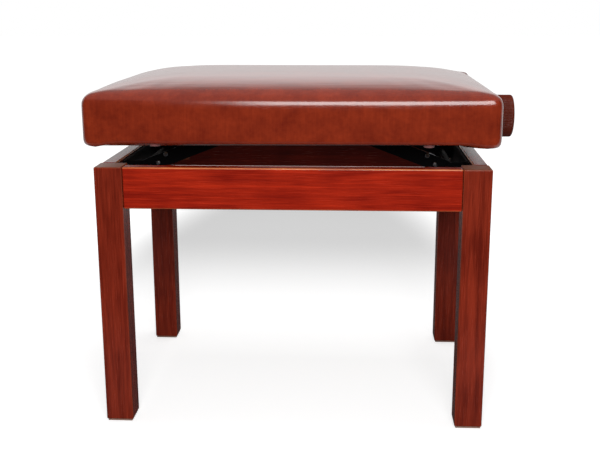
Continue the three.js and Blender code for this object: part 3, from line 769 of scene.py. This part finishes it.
def seat_profile(side_offset, top_offset, lowest, under_edge):
    """Inset, height, corner radius, draw, drop and share of the crown, for the rings up the seat's side.

    The rings run out over a rounded lower edge, up the side and in over a quarter of a superellipse,
    which leaves the side gently. The crown comes in with its height, so that both make one line.
    """
    top = shoulder_height - top_offset
    turn = np.linspace(0, math.pi / 2, edge_rings) if under_edge else np.zeros(1)
    edge_in = under_edge * (1 - np.sin(turn))
    edge_up = lowest + under_edge * (1 - np.cos(turn))
    edge_drop = corner_drop * np.cos(turn) if under_edge else np.zeros(1)
    side_up = np.linspace(edge_up[-1], max(edge_up[-1], shoulder_start), side_rings)[1:-1]
    side_up = side_up[side_up > edge_up[-1]]
    straight = np.concatenate([edge_up, side_up])
    begun = max(0.0, (straight[-1] - shoulder_start) / top) ** (shoulder_power / 2)
    turn = np.linspace(math.asin(begun), math.pi / 2, shoulder_rings)
    drawn_in = (shoulder_width - side_offset) * (1 - np.maximum(0, np.cos(turn)) ** (2 / shoulder_power))
    risen = np.sin(turn) ** (2 / shoulder_power)
    inset = np.concatenate([edge_in, np.zeros(len(side_up)), drawn_in])
    height = np.concatenate([straight, shoulder_start + top * risen])
    corner = seat_corner + corner_growth * np.concatenate([np.zeros(len(straight)), drawn_in])
    above = np.concatenate([np.zeros(len(straight)), risen])
    drop = np.concatenate([edge_drop, np.zeros(len(height) - len(edge_drop))])
    return inset + side_offset, height, corner, side_draw * above, drop, above


def seat_form(side_offset, top_offset, lowest, under_edge):
    """Vertices and faces of the closed form of the seat, inside its outer face by an offset.

    The rings of its profile are followed by those of its top, which shrink to the middle.
    """
    profile = seat_profile(side_offset, top_offset, lowest, under_edge)
    rings = seat_rings(*profile)
    middle = np.array([seat_middle_x - cover_shift, 0, 0])
    top = np.linspace(1, 0, crown_rings)[1:-1, None, None] * (rings[-1] - middle)[None]
    top[..., 2] = profile[1][-1] + crown(top[..., 0], top[..., 1], 1.0)
    points = np.concatenate([rings, top + middle])
    return points.reshape(-1, 3), tube_faces(*points.shape[:2])


foam_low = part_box("seat_foam")[0].z
points, faces = seat_form(foam_in_side, foam_in_top, foam_low, 0)
foam = open_foam("open_cell_foam", foam_tones)
foam_block = new_piece("foam_block", points, faces, foam, "seat", ["seat_foam"])


# Cover. One sheet of red-brown leatherette is drawn over the foam and down the rails, folded round
# their lower edges and stapled underneath. It is tight on the sides and crowned on top.
cover_side_start, cover_top_start = -0.05 * mm, 1.4 * mm
cover_grid, cover_sheet = 5 * mm, 1.2 * mm
under_edge, cover_flange, flange_rise = 6 * mm, 21 * mm, 1.5 * mm
cover_hole, hole_above = 9 * mm, 5 * mm
# The cloth: it is held below a height and free above another, and pressed outwards. Only a small
# share of its movement is kept, because the real cover is drawn tight over firm foam.
held_below, free_above = shoulder_start - 4 * mm, shoulder_start + 12 * mm
cloth_mass, cloth_pull, cloth_bending, cloth_pressure = 0.4, 25, 4, 4
cloth_steps = 20
cover_give = 0.08
leather_tones = ("#8c2e14", "#681b0a")
leather_smooth, leather_rough = 0.15, 0.19
mottle_width, mottle_share = 32 * mm, 0.75
fleck_width, fleck_share = 6 * mm, 0.35
line_width, line_stretch, line_share = 2.2 * mm, 0.06, 0.25
tone_dark, tone_light = 0.45, 0.9
pebble, pebble_depth = 1.3 * mm, 0.08 * mm
slack_width, slack_stretch, slack_depth = 12 * mm, 0.14, 0.4 * mm


def leatherette(name, tones):
    """Coated fabric, embossed as leather: mottled colour, a pebbled grain that breaks up the gloss, faint
    upright lines where the sheet is drawn down over the sides, and long low waves where it is drawn
    along the seat."""
    material, tree, place, light, dark = toned_material(name, tones)
    mottle = add(
        tree,
        "TexNoise",
        {"Vector": place, "Scale": 1 / mottle_width, "Detail": 4, "Roughness": 0.6},
    )
    flecks = add(
        tree,
        "TexNoise",
        {"Vector": place, "Scale": 1 / fleck_width, "Detail": 3, "Roughness": 0.6},
    )
    drawn = add(tree, "Mapping", {"Vector": place, "Scale": (1, 1, line_stretch)})
    lines = add(tree, "TexNoise", {"Vector": drawn, "Scale": 1 / line_width, "Detail": 2})
    tone = add(tree, "Math", {0: mottle, 1: mottle_share}, operation="MULTIPLY")
    for noise, weight in ((flecks, fleck_share), (lines, line_share)):
        tone = add(tree, "Math", {0: noise, 1: weight, 2: tone}, operation="MULTIPLY_ADD")
    share = add(tree, "MapRange", {"Value": tone, "From Min": tone_dark, "From Max": tone_light})
    color = add(tree, "Mix", {0: share, 6: dark, 7: light}, data_type="RGBA").outputs[2]
    cells = add(
        tree,
        "TexVoronoi",
        {"Vector": place, "Scale": 1 / pebble, "Randomness": 1.0},
        feature="SMOOTH_F1",
    ).outputs["Distance"]
    rough = add(tree, "MapRange", {"Value": flecks, "To Min": leather_smooth, "To Max": leather_rough})
    slack = add(tree, "Mapping", {"Vector": place, "Scale": (slack_stretch, 1, 1)})
    waves = add(tree, "TexNoise", {"Vector": slack, "Scale": 1 / slack_width, "Detail": 2})
    bump = add(tree, "Bump", {"Strength": 0.5, "Distance": slack_depth, "Height": waves})
    bump = add(tree, "Bump", {"Strength": 0.5, "Distance": pebble_depth, "Height": cells, "Normal": bump})
    leather = add(
        tree,
        "BsdfPrincipled",
        {
            "Base Color": color,
            "Roughness": rough,
            "Normal": bump,
            "IOR": 1.5,
            "Specular IOR Level": 0.6,
            "Coat Weight": 0.5,
            "Coat Roughness": 0.16,
            "Coat Normal": bump,
        },
    )
    add(tree, "OutputMaterial", {"Surface": leather})
    return material


def apply_modifiers(piece):
    """Bakes a piece's modifiers into its mesh."""
    found = bpy.context.evaluated_depsgraph_get()
    baked = bpy.data.meshes.new_from_object(piece.evaluated_get(found), depsgraph=found)
    piece.modifiers.clear()
    old, piece.data = piece.data, baked
    bpy.data.meshes.remove(old)


def of_vertices(mesh, kind):
    """The places of a mesh's vertices, kind co, or the directions in which they face, kind normal."""
    values = np.empty(len(mesh.vertices) * 3, np.float32)
    mesh.vertices.foreach_get(kind, values)
    return values.reshape(-1, 3).astype(float)


points, faces = seat_form(cover_side_start, cover_top_start, seat_bottom, under_edge)
leather = leatherette("red_brown_leatherette", leather_tones)
cover = new_piece("seat_cover_leatherette", points, faces, leather, "seat", ["seat_cover"])
form = bpy.data.objects.new("cover_form", cover.data.copy())
scene.collection.objects.link(form)
remesh = cover.modifiers.new("even_grid", "REMESH")
remesh.mode = "VOXEL"
remesh.voxel_size = cover_grid
remesh.use_smooth_shade = True
onto_form = cover.modifiers.new("onto_form", "SHRINKWRAP")
onto_form.wrap_method = "NEAREST_SURFACEPOINT"
onto_form.target = form
apply_modifiers(cover)
bpy.data.objects.remove(form)
rest = of_vertices(cover.data, "co")
outward = of_vertices(cover.data, "normal")

grip = np.round(np.clip((free_above - rest[:, 2]) / (free_above - held_below), 0, 1), 1)
group = cover.vertex_groups.new(name="grip")
for weight in np.unique(grip):
    group.add(np.flatnonzero(grip == weight).tolist(), float(weight), "REPLACE")
cloth = cover.modifiers.new("pressure", "CLOTH")
cloth.settings.quality = 5
cloth.settings.mass = cloth_mass
cloth.settings.tension_stiffness = cloth_pull
cloth.settings.compression_stiffness = cloth_pull
cloth.settings.bending_stiffness = cloth_bending
cloth.settings.use_pressure = True
cloth.settings.uniform_pressure_force = cloth_pressure
cloth.settings.vertex_group_mass = "grip"
cloth.settings.effector_weights.gravity = 0
for step in range(cloth_steps):
    scene.frame_set(step + 1)
apply_modifiers(cover)
scene.frame_set(1)
moved = of_vertices(cover.data, "co") - rest
settled = rest + outward * cover_give * (moved * outward).sum(axis=1, keepdims=True)
cover.data.vertices.foreach_set("co", settled.astype(np.float32).ravel())
cover.vertex_groups.clear()
cover.data.update()


def open_underneath(mesh):
    """Cuts the sheet's middle away under the seat, inside the stapled flange, and the spindle's hole.

    The points round the hole are drawn onto its circle.
    """
    work = bmesh.new()
    work.from_mesh(mesh)
    centres = np.array([face.calc_center_median() for face in work.faces])
    across = np.abs(centres[:, :2] - (seat_middle_x, 0))
    under = (centres[:, 2] < seat_bottom + flange_rise) & (across < seat_half - cover_flange).all(axis=1)
    from_spindle = np.hypot(centres[:, 1], centres[:, 2] - spindle_centre.z)
    hole = (from_spindle < cover_hole) & (centres[:, 0] > spindle_centre.x)
    gone = np.flatnonzero(under | hole)
    work.faces.ensure_lookup_table()
    bmesh.ops.delete(work, geom=[work.faces[i] for i in gone], context="FACES")
    for point in work.verts:
        if point.is_boundary and point.co.z > seat_bottom + hole_above:
            spoke = Vector((0, point.co.y, point.co.z - spindle_centre.z)).normalized() * cover_hole
            point.co = Vector((point.co.x, spoke.y, spindle_centre.z + spoke.z))
    work.to_mesh(mesh)
    work.free()


open_underneath(cover.data)
finer = cover.modifiers.new("finer", "SUBSURF")
finer.levels = finer.render_levels = 1
sheet = cover.modifiers.new("sheet", "SOLIDIFY")
sheet.thickness = cover_sheet
sheet.offset = -1
apply_modifiers(cover)
cover.data.polygons.foreach_set("use_smooth", np.ones(len(cover.data.polygons), bool))


# Eyelet. A zinc-plated ring lines the hole in the cover through which the spindle reaches the knob.
eyelet_inner, eyelet_outer, eyelet_wall = 7.0 * mm, 13.0 * mm, 1.2 * mm
eyelet_inside, eyelet_outside = 3.5 * mm, 1.2 * mm
ring = [
    (eyelet_inner, -eyelet_inside),
    (eyelet_inner + eyelet_wall, -eyelet_inside),
    (eyelet_inner + eyelet_wall, 0),
    (eyelet_outer, 0),
    *rounded_corner(eyelet_outer - eyelet_outside, 0, eyelet_outside, 0, 90),
    (eyelet_inner, eyelet_outside),
    (eyelet_inner, -eyelet_inside),
]
eyelet_place = (seat_high.x - cover_side_start - cover_shift, 0, spindle_centre.z)
points, faces = turned_piece(ring, 0, eyelet_place, 48)
new_piece("spindle_eyelet", points, faces, zinc_along_x, "seat")


# Corner pleats. At the two back corners the spare leatherette is folded over and drawn down, so an
# upright edge of the fold shows on each side of the seat and ends on the shoulder.
pleat_lift, pleat_tuck, pleat_sunk = 1.2 * mm, 0.5 * mm, 2.0 * mm
pleat_hidden, pleat_free = 0.72, 0.2
pleat_thin_below, pleat_thin_above = 0.08, 0.3
pleat_columns = 9


def pleat(quarter, hidden, free):
    """Vertices and faces of a fold over a corner.

    Its rows follow the cover's profile up the side and over the shoulder. Across, it turns round the
    corner from the hidden edge to the free one, and rises from the cover as a quarter sine. Its inner
    side lies inside the cover, and it thins out at both ends.
    """
    inset, height, corner, _, _, above = (
        values[edge_rings - 1 :]
        for values in seat_profile(cover_side_start, cover_top_start, seat_bottom, under_edge)
    )
    rise, inward = np.gradient(height), np.gradient(inset)
    flat, steep = rise / np.hypot(rise, inward), inward / np.hypot(rise, inward)
    row = np.linspace(0, 1, len(height))
    thin = np.clip(np.minimum(row / pleat_thin_below, (1 - row) / pleat_thin_above), 0, 1)
    share = np.linspace(0, 1, pleat_columns)
    lift = (pleat_lift + pleat_tuck) * thin[:, None] * np.sin(share * math.pi / 2)[None] - pleat_tuck
    sunk = np.full((len(height), 2), -pleat_sunk)
    away = np.concatenate([lift, sunk], axis=1)
    across = np.concatenate([hidden + (free - hidden) * share, [free, hidden]])
    turn = ((quarter - 1 + across) * math.pi / 2)[None]
    x_sign, y_sign = ((1, -1), (1, 1), (-1, 1), (-1, -1))[quarter]
    reach = corner[:, None] + away * flat[:, None]
    x = x_sign * (seat_half[0] - inset - corner)[:, None] + reach * np.cos(turn)
    y = y_sign * (seat_half[1] - inset - corner)[:, None] + reach * np.sin(turn)
    z = height[:, None] + away * steep[:, None] + crown(x, y, above[:, None])
    points = np.stack([x + seat_middle_x - cover_shift, y, z], axis=-1)
    return points.reshape(-1, 3), tube_faces(*points.shape[:2])


for side, quarter, hidden, free in (
    ("right", 1, pleat_hidden, pleat_free),
    ("left", 2, 1 - pleat_hidden, 1 - pleat_free),
):
    points, faces = pleat(quarter, hidden, free)
    new_piece(f"pleat_back_{side}", points, faces, leather, "seat")


# Fasteners. Zinc-plated steel: a hanger bolt with washer and nut draws each leg to its brace, screws
# with a cross recess hold the brackets, and each arm has two small domed bolts that stop its travel.
screw_radius, screw_height, screw_edge = 4.2 * mm, 2.6 * mm, 1.2 * mm
washer_radius, washer_width = 10 * mm, 1.6 * mm
nut_radius, nut_end = 7.5 * mm, 8 * mm
bolt_radius, bolt_pitch, bolt_turns = 4 * mm, 1.25 * mm, 6
bracket_plate = 3.0 * mm
# Each bracket's body, and how high and how far from the middle its screws sit, in millimetres.
bracket_screws = {
    "lower_bracket": ("frame", ((330, 106), (330, 56))),
    "upper_bracket": ("seat", ((420, 104), (424, 44))),
}
# Where the domed bolts sit on an arm, along it from its lower pivot and above its middle line.
arm_length, stop_radius = 185 * mm, 3.2 * mm
arm_bolts = ((41 * mm, 6.2 * mm), (26 * mm, -1 * mm))
sharp_angle = math.radians(35)


def stood_along(points, place, direction):
    """Points of a piece made upright at the origin, turned along a direction and moved to its place."""
    turned = Vector((0, 0, 1)).rotation_difference(Vector(direction)).to_matrix()
    return points @ np.array(turned).T + np.array(place)


def together(parts):
    """Several closed shells as one: their points in a row, and their faces numbered on."""
    points, faces, count = [], [], 0
    for some_points, some_faces in parts:
        faces += [tuple(i + count for i in face) for face in some_faces]
        points.append(some_points)
        count += len(some_points)
    return np.concatenate(points), faces


def recessed_screw():
    """A pan head with a cross recess: the rings of the recess are drawn in four times round."""
    side_end = screw_height - screw_edge
    profile = [(0, -0.4 * mm), (screw_radius, -0.4 * mm), (screw_radius, side_end - 0.5 * mm)]
    profile += rounded_corner(screw_radius - screw_edge, side_end - 0.3 * mm, screw_edge, 10, 80)
    profile += [(2.3 * mm, screw_height), (2.1 * mm, screw_height - 0.1 * mm), (1.6 * mm, 0.9 * mm)]
    profile.append((0, 0.8 * mm))
    depth = [0] * (len(profile) - 3) + [1.2 * mm, 1.0 * mm, 0]
    return turned_piece(profile, 2, (0, 0, 0), 24, depth, 4)


def hanger_bolt():
    """A washer, a hexagonal nut turned with six sides, and the bolt's threaded end in rings."""
    foot = (0, 0, 0)
    washer = [(0, 0), (washer_radius, 0), (washer_radius, washer_width), (0, washer_width)]
    nut = [
        (0, washer_width - 0.1 * mm),
        (nut_radius, washer_width - 0.1 * mm),
        (nut_radius, nut_end - 0.9 * mm),
        (nut_radius - 1 * mm, nut_end),
        (0, nut_end),
    ]
    turns = np.arange(0, 2 * bolt_turns) * bolt_pitch / 2
    thread = [(bolt_radius - 0.45 * mm * (i % 2), nut_end - 0.5 * mm + z) for i, z in enumerate(turns)]
    thread += [(bolt_radius - 1 * mm, thread[-1][1] + 0.5 * mm), (0, thread[-1][1] + 0.6 * mm)]
    bolt = [(0, nut_end - 1 * mm), (bolt_radius, nut_end - 1 * mm), *thread]
    return together(
        [turned_piece(washer, 2, foot, 36), turned_piece(nut, 2, foot, 6), turned_piece(bolt, 2, foot, 24)]
    )


def zinc_fastener(name, points, faces, body):
    """A fastener as a piece, whose edges stay sharp where its faces meet at more than an angle."""
    piece = new_piece(name, points, faces, zinc_along_y, body)
    piece.data.set_sharp_from_angle(angle=sharp_angle)


for corner in corners:
    low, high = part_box(f"corner_brace_{corner}")
    middle = (low + high) / 2
    inwards = Vector((1 if "left" in corner else -1, 1 if "front" in corner else -1, 0)).normalized()
    points, faces = hanger_bolt()
    zinc_fastener(f"hanger_bolt_{corner}", stood_along(points, middle, inwards), faces, "frame")

sides = (("left", 1), ("right", -1))
for side, sign in sides:
    for bracket, (body, places) in bracket_screws.items():
        low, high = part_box(f"{bracket}_{side}")
        inner_face = low.x + bracket_plate if sign > 0 else high.x - bracket_plate
        screws = []
        for height, reach in places:
            for y_sign in (-1, 1):
                points, faces = recessed_screw()
                place = (inner_face, y_sign * reach * mm, height * mm)
                screws.append((stood_along(points, place, (sign, 0, 0)), faces))
        points, faces = together(screws)
        zinc_fastener(f"screws_of_{bracket}_{side}", points, faces, body)

# The domed bolts. The arm rises from its lower pivot to the height of the seat's upper pins.
shaft_low, shaft_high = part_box("lower_shaft_left")
pin_low, pin_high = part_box("upper_pin_left_front")
lower_pivot_z = (shaft_low.z + shaft_high.z) / 2
rise = math.asin(((pin_low.z + pin_high.z) / 2 - lower_pivot_z) / arm_length)
dome = [(0, -0.5 * mm), (stop_radius, -0.5 * mm), (stop_radius, 0.8 * mm)]
dome += [*rounded_corner(stop_radius - 1.6 * mm, 0.9 * mm, 1.6 * mm, 5, 88), (0, 2.5 * mm)]
for side, sign in sides:
    shaft_low, shaft_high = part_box(f"lower_shaft_{side}")
    pivot_x = (shaft_low.x + shaft_high.x) / 2
    for end, y_sign in (("front", -1), ("back", 1)):
        low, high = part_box(f"arm_{side}_{end}")
        outer_face = low.y if y_sign < 0 else high.y
        bolts = []
        for along, above in arm_bolts:
            x = pivot_x + sign * (along * math.cos(rise) - above * math.sin(rise))
            z = lower_pivot_z + along * math.sin(rise) + above * math.cos(rise)
            points, faces = turned_piece(dome, 2, (0, 0, 0), 24)
            bolts.append((stood_along(points, (x, outer_face, z), (0, y_sign, 0)), faces))
        points, faces = together(bolts)
        zinc_fastener(f"stop_bolts_{side}_{end}", points, faces, f"arms_{side}")


# Staples. The cover's flange is stapled to the rails underneath, about every 24 mm, with wire staples
# shot in by hand, so each lies a little askew.
staple_spacing, staple_length, staple_wire = 24 * mm, 10 * mm, 1.1 * mm
staple_inset, staple_clear = 13 * mm, 14 * mm
staple_askew, staple_beat, staple_rise = 0.22, 7.3, 0.2 * mm


def staple_row():
    """Vertices and faces of all staples: flat bars in four rows along the seat's edges.

    A staple's turn is a sine of its number. Those under a bumper are left out.
    """
    line = seat_half - staple_inset
    counts = np.round(2 * (line - staple_clear) / staple_spacing).astype(int)
    along_x, along_y = (np.linspace(-1, 1, n) * (half - staple_clear) for n, half in zip(counts, line))
    x = np.concatenate([along_x, along_x, np.full(len(along_y), -line[0]), np.full(len(along_y), line[0])])
    y = np.concatenate([np.full(len(along_x), -line[1]), np.full(len(along_x), line[1]), along_y, along_y])
    turn = np.concatenate([np.zeros(2 * len(along_x)), np.full(2 * len(along_y), math.pi / 2)])
    x = x + seat_middle_x
    turn = turn + staple_askew * np.sin(staple_beat * np.arange(len(x)))
    free = np.ones(len(x), bool)
    for corner in corners:
        low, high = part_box(f"bumper_{corner}")
        free &= np.hypot(x - (low.x + high.x) / 2, y - (low.y + high.y) / 2) > staple_clear
    x, y, turn = x[free], y[free], turn[free]
    box = np.array([(i, j, k) for k in (-1, 1) for i, j in ((-1, -1), (1, -1), (1, 1), (-1, 1))], float) / 2
    box = box * (staple_length, staple_wire, 2 * staple_wire)
    places = np.empty((len(x), 8, 3))
    places[..., 0] = x[:, None] + box[:, 0] * np.cos(turn)[:, None] - box[:, 1] * np.sin(turn)[:, None]
    places[..., 1] = y[:, None] + box[:, 0] * np.sin(turn)[:, None] + box[:, 1] * np.cos(turn)[:, None]
    places[..., 2] = seat_bottom + box[:, 2] + staple_rise
    quads = np.array([(3, 2, 1, 0), (4, 5, 6, 7), (0, 1, 5, 4), (1, 2, 6, 5), (2, 3, 7, 6), (3, 0, 4, 7)])
    faces = (np.arange(len(x))[:, None, None] * 8 + quads[None]).reshape(-1, 4)
    return places.reshape(-1, 3), [tuple(face) for face in faces.tolist()]


points, faces = staple_row()
zinc_fastener("staples", points, faces, "seat")


# The dressed bench's box.
low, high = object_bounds()
